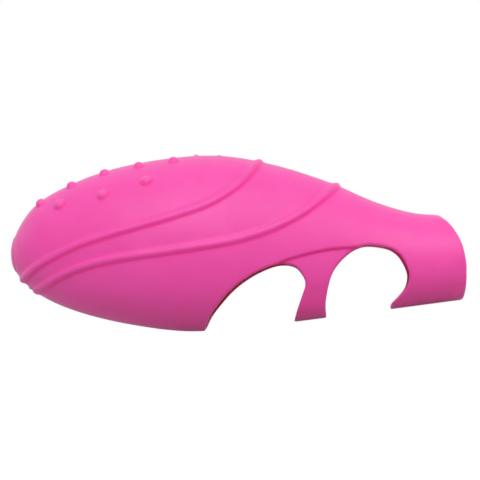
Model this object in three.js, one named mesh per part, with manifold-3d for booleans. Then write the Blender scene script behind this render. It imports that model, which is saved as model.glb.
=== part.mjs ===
// Finger-worn silicone massager: a moulded silicone sleeve with two finger loops, and the
// battery-powered vibration capsule that sits in the pocket of its head.
//
// Millimetres, +Z up. The finger bore runs along X: +X points out of its mouth towards the hand,
// -X towards the tip. The knuckle arches open downwards and the massaging nubs point up. The
// sleeve is symmetric about the plane Y = 0. The outlines are drawn with Z = 0 at the loops'
// underside, and the whole part is then lowered, which puts the origin at the mouth's centre.
//
// The sleeve is one moulding. It is built here as a front and a rear solid that meet at its flex
// line, because it bends there with the finger's middle joint.

import * as THREE from "three";
import { mergeVertices } from "three/addons/utils/BufferGeometryUtils.js";
import Module from "manifold-3d";

const wasm = await Module();
wasm.setup();

// ---------------------------------------------------------------- driving dimensions

const TIP_X = -110.4; // foremost point of the head
const TIP_Z = 24.3;
const BORE_R = 8.6; // finger bore at rest, which stretches to about 10
const LOOP_R = 10.8; // outside of the end loop; the bore is concentric with it
const BORE_Z = LOOP_R;

// Side-view outlines as [x, z] and plan half-widths as [x, y], from the tip to past the mouth.
const TOP_LINE = [
  [TIP_X, TIP_Z], [-108, 31.2], [-103, 36.5], [-95, 40.1], [-83, 42.9], [-68, 43.7], [-55.5, 42.5],
  [-43, 38.5], [-30.5, 32.6], [-20.5, 26.6], [-12, 22.8], [-5, 21.3], [1, 21.2],
];
const BOTTOM_LINE = [
  [TIP_X, TIP_Z], [-108, 18.1], [-103, 13.4], [-95, 8.9], [-83, 4.4], [-70.5, 1.2], [-60, 0.3],
  [-45, 0], [1, 0],
];
const HALF_WIDTH = [
  [TIP_X, 0], [-108, 5.6], [-103, 9.9], [-95, 13.2], [-83, 16.4], [-70, 17.6],
  [-58, 17.1], [-45, 14.8], [-32, 12.4], [-20, 11.1], [-12, LOOP_R], [1, LOOP_R],
];

// Knuckle arches and the curved mouth, as side-view outlines cut straight through along Y.
const BELOW = -5; // well under the sleeve
const HEAD_ARCH = [
  [-66.2, -0.4], [-65.2, 1.5], [-63.2, 4.6], [-58.2, 9.3], [-53.1, 12.3], [-48, 14], [-44.5, 14.2],
  [-41.6, 13.1], [-40, 10.4], [-39.9, 8.4], [-40.7, 6.6], [-42.5, 3], [-43.8, 0],
];
const HAND_ARCH = [
  [-35.8, 0], [-35.4, 4.2], [-33, 10.4], [-29, 14.4], [-24.5, 16.1], [-19.5, 15.1], [-17, 13.6],
  [-15.5, 11.4], [-14.6, 8], [-15.5, 5], [-17.6, 2.9], [-19.3, 1.6], [-20, 0.5], [-19.9, -0.6],
];
const MOUTH = [
  [-6.7, 22.2], [-5.1, 21], [-3.2, 18.6], [-1.8, 15.6], [-1, 12.7], [-0.7, 9], [-0.9, 6.4],
  [-1.2, 4], [-1.6, 2], [-2.3, 0], [-3.8, -2],
];

// Fingertip pocket: a round cone from the bore to a dome under the capsule.
const FINGERTIP = { x: -73, z: 11.6, r: 7.2 };
const BORE_END_X = -52; // where the parallel bore starts to taper

// Capsule axis: from its nose, rising towards the hand.
const CAPSULE_TILT = THREE.MathUtils.degToRad(4.2);
const CAPSULE_NOSE = new THREE.Vector3(-106, 0, 26);
const CAPSULE_R = 7.75;
const NOSE_LENGTH = 9; // of the capsule's rounded nose
const CAPSULE_BACK = 48; // from the nose to the end cap's rear face
const POCKET_GAP = 0.35;
const CHAMBER_LENGTH = 6.5; // parallel free space behind the end cap
const CHAMBER_DOME = 5;
const WINDOW = { x: [-57.2, -48.2], y: 5.8, z: [12, 29] }; // thumb window under the end cap

// Flex line of the sleeve over the hand-side arch.
const FLEX = { x: -24, z: 22.4, r: 6.6, gap: 0.4 };

// Nubs of the massaging surface, as side-view [x, z]. Each has a twin on the far side.
const NUB_R = 1.3;
const NUB_SUNK = 0.3;
const NUBS = [
  [-101, 36.8], [-93.1, 40], [-84.8, 41.9], [-76.3, 42.5], [-67.8, 42.6],
  [-96.2, 35.7], [-85.3, 36.5], [-74.6, 38.35],
];

const ROUND = 20; // sides of a turned part
const FINE_ROUND = 28; // of the capsule's outer parts
const TINY_ROUND = 12;
const WALL = 1.15; // of the capsule's shell

// ---------------------------------------------------------------- shape helpers

// Cubic through [x, value] points. The parameter is the root of the distance from the tip, so that
// a line which leaves the tip square to X stays round there.
function outline(points) {
  const u = points.map(([x]) => Math.sqrt(x - TIP_X));
  const v = points.map(([, value]) => value);
  const last = u.length - 1;
  const slope = u.map((_, i) => {
    const a = Math.max(i - 1, 0);
    const b = Math.min(i + 1, last);
    return (v[b] - v[a]) / (u[b] - u[a]);
  });
  return (x) => {
    const w = Math.sqrt(Math.max(x - TIP_X, 0));
    let i = 0;
    while (i < last - 1 && w > u[i + 1]) i += 1;
    const h = u[i + 1] - u[i];
    const t = Math.min((w - u[i]) / h, 1);
    return (
      (2 * t ** 3 - 3 * t ** 2 + 1) * v[i] +
      (t ** 3 - 2 * t ** 2 + t) * h * slope[i] +
      (3 * t ** 2 - 2 * t ** 3) * v[i + 1] +
      (t ** 3 - t ** 2) * h * slope[i + 1]
    );
  };
}

const topAt = outline(TOP_LINE);
const bottomAt = outline(BOTTOM_LINE);
const halfWidthAt = outline(HALF_WIDTH);

// A point on the sleeve's skin at x, turned from the crest by an angle in radians.
function skinPoint(x, angle) {
  const middle = (topAt(x) + bottomAt(x)) / 2;
  const height = (topAt(x) - bottomAt(x)) / 2;
  return [x, halfWidthAt(x) * Math.sin(angle), middle + height * Math.cos(angle)];
}

function toSolid(geometry) {
  const plain = geometry.index ? geometry.toNonIndexed() : geometry.clone();
  const bare = new THREE.BufferGeometry().setAttribute("position", plain.getAttribute("position"));
  const merged = mergeVertices(bare, 1e-3);
  return new wasm.Manifold(
    new wasm.Mesh({
      numProp: 3,
      vertProperties: new Float32Array(merged.attributes.position.array),
      triVerts: new Uint32Array(merged.index.array),
    }),
  );
}

function toGeometry(solid) {
  const mesh = solid.getMesh();
  const count = mesh.numProp;
  const points = new Float32Array(mesh.numVert * 3);
  for (let i = 0; i < mesh.numVert; i += 1) {
    points.set(mesh.vertProperties.subarray(i * count, i * count + 3), i * 3);
  }
  const geometry = new THREE.BufferGeometry();
  geometry.setAttribute("position", new THREE.BufferAttribute(points, 3));
  geometry.setIndex(new THREE.BufferAttribute(mesh.triVerts, 1));
  return geometry;
}

// A turned part about X from a closed profile of [x, radius] points, drawn from front to back.
function turned(profile, sides = ROUND) {
  const points = profile.map(([x, r]) => new THREE.Vector2(r, x));
  return new THREE.LatheGeometry(points, sides).rotateZ(-Math.PI / 2);
}

// A plain ring about X, or a disc where inner is 0.
function ring(from, to, outer, inner = 0, sides = ROUND) {
  const profile = [[from, inner], [from, outer], [to, outer], [to, inner]];
  if (inner > 0) profile.push([from, inner]);
  return turned(profile, sides);
}

// A quarter ellipse of [x, radius] points, which closes a turned nose that starts on the axis.
function nose(start, length, radius, steps) {
  return Array.from({ length: steps + 1 }, (_, i) => {
    const angle = (i / steps) * (Math.PI / 2);
    return [start + length * (1 - Math.cos(angle)), radius * Math.sin(angle)];
  });
}

function block(x, y, z) {
  const size = [x[1] - x[0], y[1] - y[0], z[1] - z[0]];
  const centre = [(x[0] + x[1]) / 2, (y[0] + y[1]) / 2, (z[0] + z[1]) / 2];
  return new THREE.BoxGeometry(...size).translate(...centre);
}

// A side-view outline extruded through the sleeve along Y.
function throughCut(points, width = 25) {
  const shape = new THREE.Shape(points.map(([x, z]) => new THREE.Vector2(x, z)));
  const cut = new THREE.ExtrudeGeometry(shape, { depth: 2 * width, bevelEnabled: false });
  return cut.rotateX(Math.PI / 2).translate(0, width, 0);
}

// A smooth open curve through side-view points, sampled evenly.
function smooth(points, samples) {
  const curve = new THREE.SplineCurve(points.map(([x, z]) => new THREE.Vector2(x, z)));
  return curve.getSpacedPoints(samples).map((p) => [p.x, p.y]);
}

// ---------------------------------------------------------------- silicone sleeve

function sleeveSkin() {
  const SIDES = 28;
  const STATIONS = 25;
  const points = [TIP_X, 0, TIP_Z];
  for (let i = 1; i <= STATIONS; i += 1) {
    const x = TIP_X + (1 - TIP_X) * (i / STATIONS) ** 1.6;
    for (let j = 0; j < SIDES; j += 1) points.push(...skinPoint(x, (j / SIDES) * 2 * Math.PI));
  }
  points.push(1, 0, BORE_Z);
  const at = (i, j) => 1 + (i - 1) * SIDES + (j % SIDES);
  const back = points.length / 3 - 1;
  const faces = [];
  for (let j = 0; j < SIDES; j += 1) {
    faces.push(0, at(1, j), at(1, j + 1));
    faces.push(back, at(STATIONS, j + 1), at(STATIONS, j));
    for (let i = 1; i < STATIONS; i += 1) {
      faces.push(at(i, j), at(i + 1, j), at(i + 1, j + 1));
      faces.push(at(i, j), at(i + 1, j + 1), at(i, j + 1));
    }
  }
  const skin = new THREE.BufferGeometry();
  skin.setAttribute("position", new THREE.Float32BufferAttribute(points, 3));
  skin.setIndex(faces);
  return skin;
}

function nub(x, z, side) {
  const middle = (topAt(x) + bottomAt(x)) / 2;
  const height = (topAt(x) - bottomAt(x)) / 2;
  const angle = Math.acos((z - middle) / height);
  const [, y, up] = skinPoint(x, angle);
  const depth = 1 - NUB_SUNK / height;
  const place = [x, side * y * depth, middle + (up - middle) * depth];
  return new THREE.IcosahedronGeometry(NUB_R, 1).translate(...place);
}

function fingerBore() {
  const parallel = ring(BORE_END_X, 5, BORE_R).translate(0, 0, BORE_Z);
  const reach = BORE_END_X - FINGERTIP.x;
  const drop = BORE_Z - FINGERTIP.z;
  const length = Math.hypot(reach, drop) + 0.4;
  const dome = nose(-FINGERTIP.r, FINGERTIP.r, FINGERTIP.r, 4);
  const taper = turned([...dome, [length, BORE_R], [length, 0]]);
  taper.rotateY(-Math.atan2(drop, reach)).translate(FINGERTIP.x, 0, FINGERTIP.z);
  return toSolid(parallel).add(toSolid(taper));
}

function onCapsuleAxis(geometry) {
  return geometry.rotateY(-CAPSULE_TILT).translate(...CAPSULE_NOSE.toArray());
}

function capsulePocket() {
  const radius = CAPSULE_R + POCKET_GAP;
  const front = nose(-POCKET_GAP, NOSE_LENGTH, radius, 5);
  const end = CAPSULE_BACK + CHAMBER_LENGTH;
  const dome = nose(0, CHAMBER_DOME, radius, 4)
    .reverse()
    .map(([x, r]) => [end + CHAMBER_DOME - x, r]);
  return toSolid(onCapsuleAxis(turned([...front, ...dome])));
}

function sleeve() {
  const archPoints = (points) => {
    const [first, last] = [points[0], points.at(-1)];
    return [[first[0] - 1, BELOW], ...smooth(points, 18), [last[0], BELOW]];
  };
  const mouth = [...smooth(MOUTH, 12), [-3.8, BELOW], [10, BELOW], [10, 30], [-6.7, 30]];
  let body = toSolid(sleeveSkin());
  for (const [x, z] of NUBS) {
    for (const side of [-1, 1]) body = body.add(toSolid(nub(x, z, side)));
  }
  body = body.subtract(fingerBore()).subtract(capsulePocket());
  body = body.subtract(toSolid(block(WINDOW.x, [-WINDOW.y, WINDOW.y], WINDOW.z)));
  for (const points of [archPoints(HEAD_ARCH), archPoints(HAND_ARCH), mouth]) {
    body = body.subtract(toSolid(throughCut(points)));
  }
  return body;
}

// The sleeve on either side of its flex line, a knuckle about Y.
function flexHalves(body) {
  const knuckle = (radius) =>
    toSolid(new THREE.CylinderGeometry(radius, radius, 60, 32).translate(FLEX.x, 0, FLEX.z));
  const ahead = toSolid(block([-130, FLEX.x], [-30, 30], [-10, 60]));
  const behind = toSolid(block([FLEX.x, 20], [-30, 30], [-10, 60]));
  return {
    front: body.intersect(ahead.add(knuckle(FLEX.r))),
    rear: body.intersect(behind).subtract(knuckle(FLEX.r + FLEX.gap)),
  };
}

// ---------------------------------------------------------------- capsule
// Everything below is drawn along the capsule's own axis: X is 0 at its nose and grows to the rear.

const SHELL_END = 40;
const SHELL_IN = CAPSULE_R - WALL;
const MOUTH_IN = 7.0; // widened mouth that takes the end cap's spigot
const MOUTH_START = 35.8;
const LUG_GROOVE = { from: 37.3, to: 38.7, r: 7.35 };
const MOTOR = { from: 7.6, to: 17, r: 3.5, wall: 0.25 };
const CELL = { first: 22, pitch: 5.6, r: 5.8, height: 5.4 };
const STRIP = { from: 18.8, to: 35.6, r: 6.28, width: 1.8, thick: 0.22 };
const SPIGOT = { from: 36.1, outer: 6.78, inner: 6.2 };
const CAP_TWIST = 40; // degrees from locked to the entry slots
const CAP = { from: 41, back: CAPSULE_BACK, floor: 46.6, hole: 3.2 };
const FLUTES = 14;
const BUTTON = { r: 2.95, face: 49, flange: 4, stem: 1.2 };
const BOARD = { from: 40, to: 41, r: 5.95 };
const SWITCH = { to: 43.1, half: 2.2, well: 42.2, stem: 1 };

function capsuleShell() {
  const inside = nose(WALL, NOSE_LENGTH - WALL, SHELL_IN, 4).reverse();
  const shell = turned([
    ...nose(0, NOSE_LENGTH, CAPSULE_R, 6),
    [SHELL_END, CAPSULE_R],
    [SHELL_END, MOUTH_IN],
    [LUG_GROOVE.to, MOUTH_IN],
    [LUG_GROOVE.to, LUG_GROOVE.r],
    [LUG_GROOVE.from, LUG_GROOVE.r],
    [LUG_GROOVE.from, MOUTH_IN],
    [MOUTH_START, MOUTH_IN],
    [MOUTH_START, SHELL_IN],
    ...inside,
  ], FINE_ROUND);
  let solid = toSolid(shell);
  for (const side of [-1, 1]) {
    const z = side < 0 ? [-LUG_GROOVE.r, -6] : [6, LUG_GROOVE.r];
    const slot = block([LUG_GROOVE.from, SHELL_END + 1], [-1.4, 1.4], z);
    solid = solid.subtract(toSolid(slot.rotateX(THREE.MathUtils.degToRad(CAP_TWIST))));
  }
  return toGeometry(solid);
}

function endCap() {
  const cup = turned([
    [CAP.floor, 0],
    [CAP.floor, SPIGOT.inner],
    [SPIGOT.from, SPIGOT.inner],
    [SPIGOT.from, SPIGOT.outer],
    [CAP.from, SPIGOT.outer],
    [CAP.from, CAPSULE_R],
    [CAP.back - 1.2, CAPSULE_R],
    [CAP.back - 0.4, CAPSULE_R - 0.4],
    [CAP.back, CAPSULE_R - 1.2],
    [CAP.back, 0],
  ], FINE_ROUND);
  let solid = toSolid(cup);
  for (const side of [-1, 1]) {
    const z = [SPIGOT.inner + 0.2, LUG_GROOVE.r - 0.2].map((v) => v * side).sort((a, b) => a - b);
    const lug = block([LUG_GROOVE.from + 0.2, LUG_GROOVE.to - 0.2], [-1.1, 1.1], z);
    solid = solid.add(toSolid(lug));
  }
  for (let i = 0; i < FLUTES; i += 1) {
    const angle = ((i + 0.5) / FLUTES) * 2 * Math.PI;
    const flute = ring(CAP.from + 1.4, CAP.back - 1.6, 0.55, 0, 6);
    flute.translate(0, (CAPSULE_R + 0.2) * Math.sin(angle), (CAPSULE_R + 0.2) * Math.cos(angle));
    solid = solid.subtract(toSolid(flute));
  }
  return toGeometry(solid.subtract(toSolid(ring(CAP.floor - 1, CAP.back + 1, CAP.hole))));
}

function capSeal() {
  return ring(SHELL_END + 0.15, CAP.from - 0.15, 7.6, SPIGOT.outer + 0.15, FINE_ROUND);
}

function pushButton() {
  return turned([
    [44.4, 0], [44.4, BUTTON.stem], [45.5, BUTTON.stem], [45.5, BUTTON.flange],
    [46.2, BUTTON.flange], [46.2, BUTTON.r], [BUTTON.face - 0.6, BUTTON.r],
    [BUTTON.face - 0.2, BUTTON.r - 0.5], [BUTTON.face, BUTTON.r - 1.4], [BUTTON.face, 0],
  ]);
}

function motorCan() {
  const { from, to, r, wall } = MOTOR;
  return turned([
    [from, 1.55], [from, r - 0.4], [from + 0.4, r], [to, r], [to, r - wall],
    [from + 0.5, r - wall], [from + 0.5, 1.55], [from, 1.55],
  ]);
}

function motorHolder() {
  const body = toSolid(ring(9.8, 18.4, 6.35, MOTOR.r + 0.2));
  const stripSlot = toSolid(block([9, 19], [-1.2, 1.2], [5.6, 7]));
  return toGeometry(body.subtract(stripSlot));
}

function eccentricWeight() {
  const full = toSolid(ring(3.4, 6.9, 3.6, 0.62, TINY_ROUND));
  const upper = toSolid(block([3, 7.3], [-4, 4], [0.9, 4]));
  return toGeometry(full.subtract(upper));
}

function motorArmature() {
  let solid = toSolid(ring(9.2, 15.4, 2.45, 0.62, TINY_ROUND));
  for (let i = 0; i < 3; i += 1) {
    const gap = block([9, 16], [-0.3, 0.3], [1.3, 3]);
    solid = solid.subtract(toSolid(gap.rotateX((i / 3) * 2 * Math.PI)));
  }
  return toGeometry(solid);
}

// A button cell: its negative face is the narrower one, towards the spring.
function buttonCell(index) {
  const start = CELL.first + index * CELL.pitch;
  const end = start + CELL.height;
  return turned([
    [start, 0], [start, 4.7], [start + 0.5, 4.7], [start + 0.5, 5.2], [start + 0.9, CELL.r],
    [end - 0.3, CELL.r], [end, CELL.r - 0.3], [end, 0],
  ]);
}

function batterySpring() {
  class Cone extends THREE.Curve {
    getPoint(t) {
      const angle = t * 2.5 * 2 * Math.PI;
      const radius = 4.2 - 1.8 * t;
      return new THREE.Vector3(19.95 + 1.55 * t, radius * Math.cos(angle), radius * Math.sin(angle));
    }
  }
  const wire = new THREE.Shape().absarc(0, 0, 0.22, 0, 2 * Math.PI);
  return new THREE.ExtrudeGeometry(wire, { steps: 36, curveSegments: 3, extrudePath: new Cone() });
}

function batteryTube() {
  const tube = toSolid(ring(20, MOUTH_START - 0.1, 6.5, CELL.r + 0.15));
  const slot = toSolid(block([19, MOUTH_START + 1], [-1.2, 1.2], [5, 7]));
  return toGeometry(tube.subtract(slot));
}

function contactStrip() {
  const half = STRIP.width / 2;
  return block([STRIP.from, STRIP.to], [-half, half], [STRIP.r - STRIP.thick, STRIP.r]);
}

function positiveContact() {
  return turned([[39.25, 0], [39.25, 0.9], [39.6, 1.7], [39.85, 1.7], [39.85, 0]], TINY_ROUND);
}

function circuitBoard() {
  const disc = toSolid(ring(BOARD.from, BOARD.to, BOARD.r));
  const key = toSolid(block([BOARD.from - 1, BOARD.to + 1], [-1, 1], [-7, -5.2]));
  return toGeometry(disc.subtract(key));
}

function switchBody() {
  const { to, half, well, stem } = SWITCH;
  const body = toSolid(block([BOARD.to + 0.15, to], [-half, half], [-half, half]));
  return toGeometry(body.subtract(toSolid(ring(well, to + 1, stem + 0.2, 0, TINY_ROUND))));
}

// ---------------------------------------------------------------- assembly

const LOOKS = {
  silicone: { color: 0xf95fb0, roughness: 0.5, metalness: 0 },
  shell_plastic: { color: 0xeceaea, roughness: 0.3, metalness: 0 },
  button_silicone: { color: 0xf283bd, roughness: 0.55, metalness: 0 },
  seal_rubber: { color: 0x2b2b2d, roughness: 0.7, metalness: 0 },
  frame_plastic: { color: 0xd9d8d2, roughness: 0.5, metalness: 0 },
  steel: { color: 0xb9bbbe, roughness: 0.3, metalness: 1 },
  brass: { color: 0xc8a24e, roughness: 0.35, metalness: 1 },
  tungsten: { color: 0x77787c, roughness: 0.45, metalness: 1 },
  magnet: { color: 0x3b3b3f, roughness: 0.6, metalness: 0 },
  copper: { color: 0xb4662f, roughness: 0.4, metalness: 1 },
  board: { color: 0x1d6b3f, roughness: 0.5, metalness: 0 },
  black_plastic: { color: 0x222226, roughness: 0.45, metalness: 0 },
};

const materials = Object.fromEntries(
  Object.entries(LOOKS).map(([name, look]) => [name, new THREE.MeshStandardMaterial({ name, ...look })]),
);

function part(name, look, geometry) {
  geometry.computeVertexNormals();
  const mesh = new THREE.Mesh(geometry, materials[look]);
  mesh.name = name;
  return mesh;
}

function capsule() {
  const group = new THREE.Group();
  group.position.copy(CAPSULE_NOSE);
  group.rotation.y = -CAPSULE_TILT;
  group.add(
    part("capsule_shell", "shell_plastic", capsuleShell()),
    part("end_cap", "shell_plastic", endCap()),
    part("cap_seal", "seal_rubber", capSeal()),
    part("push_button", "button_silicone", pushButton()),
    part("switch_stem", "black_plastic", ring(42.9, 44.2, SWITCH.stem, 0, TINY_ROUND)),
    part("switch_body", "black_plastic", switchBody()),
    part("circuit_board", "board", circuitBoard()),
    part("driver_chip", "black_plastic", block([BOARD.to + 0.15, 42.2], [-1.5, 1.5], [3, 4.9])),
    part("positive_contact", "brass", positiveContact()),
    part("motor_can", "steel", motorCan()),
    part("motor_bushing", "brass", ring(MOTOR.from - 0.4, 8.8, 1.4, 0.65, TINY_ROUND)),
    part("motor_magnet", "magnet", ring(9.4, 15.2, 3.1, 2.6)),
    part("motor_end_bell", "frame_plastic", ring(MOTOR.to + 0.15, 18.4, 3.4)),
    part("motor_shaft", "steel", ring(3.1, 16.6, 0.5, 0, TINY_ROUND)),
    part("motor_armature", "copper", motorArmature()),
    part("eccentric_weight", "tungsten", eccentricWeight()),
    part("motor_holder", "frame_plastic", motorHolder()),
    part("negative_contact", "brass", ring(19.2, 19.55, 5.5)),
    part("battery_spring", "brass", batterySpring()),
    part("battery_tube", "frame_plastic", batteryTube()),
    part("contact_strip", "brass", contactStrip()),
  );
  for (let i = 0; i < 3; i += 1) group.add(part(`button_cell_${i + 1}`, "steel", buttonCell(i)));
  return group;
}

const { front, rear } = flexHalves(sleeve());
const massager = new THREE.Group();
massager.add(
  part("sleeve_front", "silicone", toGeometry(front)),
  part("sleeve_rear", "silicone", toGeometry(rear)),
  capsule(),
);
massager.position.z = -BORE_Z;

export default massager;
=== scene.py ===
"""The look of a finger massager sleeve and of the vibration capsule inside its head.

The sleeve is one silicone moulding. Its surface is the zero level of a distance field, worked out
in millimetres with z measured from the loops' underside, and turned into a quad mesh here. The
capsule's parts are turned and extruded along the capsule's own axis.
"""
import math

import bmesh
import bpy
import numpy as np
from mathutils import Matrix, Vector


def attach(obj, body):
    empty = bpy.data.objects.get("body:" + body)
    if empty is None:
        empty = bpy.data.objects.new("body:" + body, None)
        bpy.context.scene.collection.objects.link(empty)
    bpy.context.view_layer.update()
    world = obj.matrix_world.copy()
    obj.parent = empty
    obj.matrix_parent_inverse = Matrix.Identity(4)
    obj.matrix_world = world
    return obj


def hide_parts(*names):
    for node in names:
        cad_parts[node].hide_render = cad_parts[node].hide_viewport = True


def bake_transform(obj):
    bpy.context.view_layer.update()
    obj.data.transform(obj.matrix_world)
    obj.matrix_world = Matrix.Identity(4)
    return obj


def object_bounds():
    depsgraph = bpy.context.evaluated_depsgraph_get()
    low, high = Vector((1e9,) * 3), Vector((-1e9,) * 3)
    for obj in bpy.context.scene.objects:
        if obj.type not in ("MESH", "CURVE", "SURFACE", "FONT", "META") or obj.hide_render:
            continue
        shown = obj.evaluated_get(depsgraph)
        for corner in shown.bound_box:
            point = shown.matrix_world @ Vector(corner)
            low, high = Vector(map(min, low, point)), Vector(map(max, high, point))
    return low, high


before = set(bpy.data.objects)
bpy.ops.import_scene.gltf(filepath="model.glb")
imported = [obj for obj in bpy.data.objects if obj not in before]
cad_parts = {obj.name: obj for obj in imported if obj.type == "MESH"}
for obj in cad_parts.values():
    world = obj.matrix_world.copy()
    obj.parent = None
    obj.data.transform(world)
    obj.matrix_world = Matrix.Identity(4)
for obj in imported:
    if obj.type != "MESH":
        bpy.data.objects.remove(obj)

CAD_BOX = [list(corner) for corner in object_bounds()]
MM = 0.001
BORE_Z = 10.8  # height of the finger bore's axis over the loops' underside
CELL_SIZE = 0.4

# ---------------- sleeve dimensions, mm

TIP_X = -110.4
TIP_Z = 24.3
TOP_LINE = [
    (TIP_X, TIP_Z), (-108, 31.2), (-103, 36.5), (-95, 40.1), (-83, 42.9), (-68, 43.7),
    (-55.5, 42.5), (-43, 38.5), (-30.5, 32.6), (-20.5, 26.6), (-12, 22.8), (-5, 21.3), (1, 21.2),
]
BOTTOM_LINE = [
    (TIP_X, TIP_Z), (-108, 18.1), (-103, 13.4), (-95, 8.9), (-83, 4.4), (-70.5, 1.2), (-60, 0.3),
    (-45, 0), (1, 0),
]
HALF_WIDTH = [
    (TIP_X, 0), (-108, 5.6), (-103, 9.9), (-95, 13.2), (-83, 16.4), (-70, 17.6),
    (-58, 17.1), (-45, 14.8), (-32, 12.4), (-20, 11.1), (-12, 10.8), (1, 10.8),
]
HEAD_ARCH = [
    (-66.2, -0.4), (-65.2, 1.5), (-63.2, 4.6), (-58.2, 9.3), (-53.1, 12.3), (-48, 14),
    (-44.5, 14.2), (-41.6, 13.1), (-40, 10.4), (-39.9, 8.4), (-40.7, 6.6), (-42.5, 3), (-43.8, 0),
]
HAND_ARCH = [
    (-35.8, 0), (-35.4, 4.2), (-33, 10.4), (-29, 14.4), (-24.5, 16.1), (-19.5, 15.1), (-17, 13.6),
    (-15.5, 11.4), (-14.6, 8), (-15.5, 5), (-17.6, 2.9), (-19.3, 1.6), (-20, 0.5), (-19.9, -0.6),
]
MOUTH = [
    (-6.7, 22.2), (-5.1, 21), (-3.2, 18.6), (-1.8, 15.6), (-1, 12.7), (-0.7, 9), (-0.9, 6.4),
    (-1.2, 4), (-1.6, 2), (-2.3, 0), (-3.8, -2),
]
# Lines in the side view that are clear of the sleeve.
BELOW = -5
ABOVE = 45
BEHIND = 12

BORE_R = 8.6
BORE_END_X = -52
FINGERTIP = (-73, 11.6, 7.2)  # x, z and radius of the bore's round end

CAPSULE_TILT = math.radians(4.2)
CAPSULE_NOSE = (-106, 26)  # x, z
POCKET_R = 8.1
POCKET_NOSE = 9.35  # length of its rounded front
POCKET_FRONT = -0.35
POCKET_END = 54.5
POCKET_DOME = 5
WINDOW_CENTRE = (-52.7, 0, 20.5)
WINDOW_HALF = (4.5, 5.8, 8.5)
WINDOW_ROUND = 1.5

# Beads that run round the head, as side-view paths. Both go past the outline at their ends, where
# they cross over to the far side.
RIBS = [
    [(-110.8, 17.35), (-107.3, 19.5), (-104.1, 21.4), (-98.1, 23.75), (-91.9, 25.5), (-84.2, 26.85),
     (-74.9, 28.25), (-68.1, 29.35), (-61.2, 30.8), (-56, 32.9), (-51.4, 35.75), (-46.9, 40.4),
     (-44.6, 43.2)],
    [(-105.6, 15.5), (-104.6, 15.9), (-101.4, 17.15), (-96.9, 18.8), (-91.1, 20), (-83.4, 20.65),
     (-69.1, 20.85), (-59.2, 21.1), (-52.5, 21.75), (-45.7, 23.2), (-38.8, 25.75), (-33.4, 28.8),
     (-29.3, 31.75), (-26.5, 34.3)],
]
RIB_R = 0.95
RIB_SUNK = 0.35

# The step under which the middle loop leaves the body.
STEP_LINE = [
    (-56, 9.6), (-50, 12.8), (-44.8, 14.9), (-40, 15.8), (-33.3, 16.4), (-27, 16.1), (-22, 15.2),
    (-17, 11),
]
STEP_DEPTH = 0.7
STEP_EDGE = (-0.05, 0.55)  # distances below its line between which it deepens
STEP_FOOT = (0.5, 7)  # z between which it grows, above the loop's underside
STEP_ENDS = [(-56, -53), (-16, -19)]  # x between which it grows at each end

# The faint oval pad at the tip.
PAD_Z = 25.2
PAD_HALF = (3.2, 4.2)
PAD_EDGE = (1.12, 0.92)
PAD_FRONT = (-104, -106)
PAD_HEIGHT = 0.18

# Massaging nubs, as side-view points of their middles.
NUBS = [
    (-101, 36.8), (-93.1, 40), (-84.8, 41.9), (-76.3, 42.5), (-67.8, 42.6),
    (-96.2, 35.7), (-85.3, 36.5), (-74.6, 38.35),
]
NUB_R = 1.7
NUB_SIDE = 1.3  # radius of the straight side under a nub's round top
NUB_ROUND = 0.7
NUB_SUNK = 0.65
NUB_REACH = 3  # distance from a nub's centre past which it changes nothing
# Smaller ones on the middle plane: two on the crest and one between the beads under the tip.
LOW_NUBS = [(-62.3, 43.15), (-56.7, 42.3), (-106.55, 16.9)]
LOW_NUB_R = 0.65

# Widths over which surfaces run into each other.
RIB_BLEND = 0.5
NUB_BLEND = 0.4
LOW_NUB_BLEND = 0.2
WINDOW_BLEND = 1.2
POCKET_BLEND = 1.0
HOLLOW_EDGE = 0.8
ARCH_EDGE = 0.4
MOUTH_EDGE = 0.6

# Painted shade in the creases, as darker lines: how far out from a bead, the step and a nub they
# lie, and their half widths.
RIB_FOLD = 0.1
STEP_FOLD = 0.3
NUB_FOLD = 0.15
FOLD_HALF = 0.45
NUB_FOLD_HALF = 0.3
STEP_FOLD_ENDS = [(-55, -51), (-17, -20)]  # x between which the painted shade under the step fades in

# x between which the arches' walls take painted shade, a deeper colour: all of it, and half of it
# at the rear.
HEAD_WALL_SHADE = (-42, -46)
REAR_WALL_SHADE = (-19.5, -16.5)


# ---------------- field helpers

def outline(points):
    """A cubic through (x, value) points over the root of the distance from the tip."""
    u = np.sqrt([x - TIP_X for x, _ in points])
    v = np.array([value for _, value in points], float)
    low = np.maximum(np.arange(len(u)) - 1, 0)
    high = np.minimum(np.arange(len(u)) + 1, len(u) - 1)
    slope = (v[high] - v[low]) / (u[high] - u[low])

    def at(x):
        w = np.sqrt(np.maximum(x - TIP_X, 0))
        i = np.clip(np.searchsorted(u, w) - 1, 0, len(u) - 2)
        h = u[i + 1] - u[i]
        t = np.minimum((w - u[i]) / h, 1)
        return (
            (2 * t**3 - 3 * t**2 + 1) * v[i]
            + (t**3 - 2 * t**2 + t) * h * slope[i]
            + (3 * t**2 - 2 * t**3) * v[i + 1]
            + (t**3 - t**2) * h * slope[i + 1]
        )

    return at


def catmull(points, per_segment=10):
    """An open uniform Catmull-Rom curve through side-view points."""
    p = np.array([points[0], *points, points[-1]], float)
    out = []
    for i in range(1, len(p) - 2):
        t = np.linspace(0, 1, per_segment, endpoint=False)[:, None]
        a, b, c, d = p[i - 1 : i + 3]
        square, cube = 2 * a - 5 * b + 4 * c - d, 3 * b - 3 * c + d - a
        out.append(0.5 * (2 * b + (c - a) * t + square * t**2 + cube * t**3))
    return np.vstack([*out, p[-1:]])


def smooth_max(a, b, k):
    h = np.maximum(k - np.abs(a - b), 0) / k
    return np.maximum(a, b) + h * h * k / 4


def smooth_min(a, b, k):
    return -smooth_max(-a, -b, k)


def smoothstep(low, high, v):
    t = np.clip((v - low) / (high - low), 0, 1)
    return t * t * (3 - 2 * t)


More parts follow.
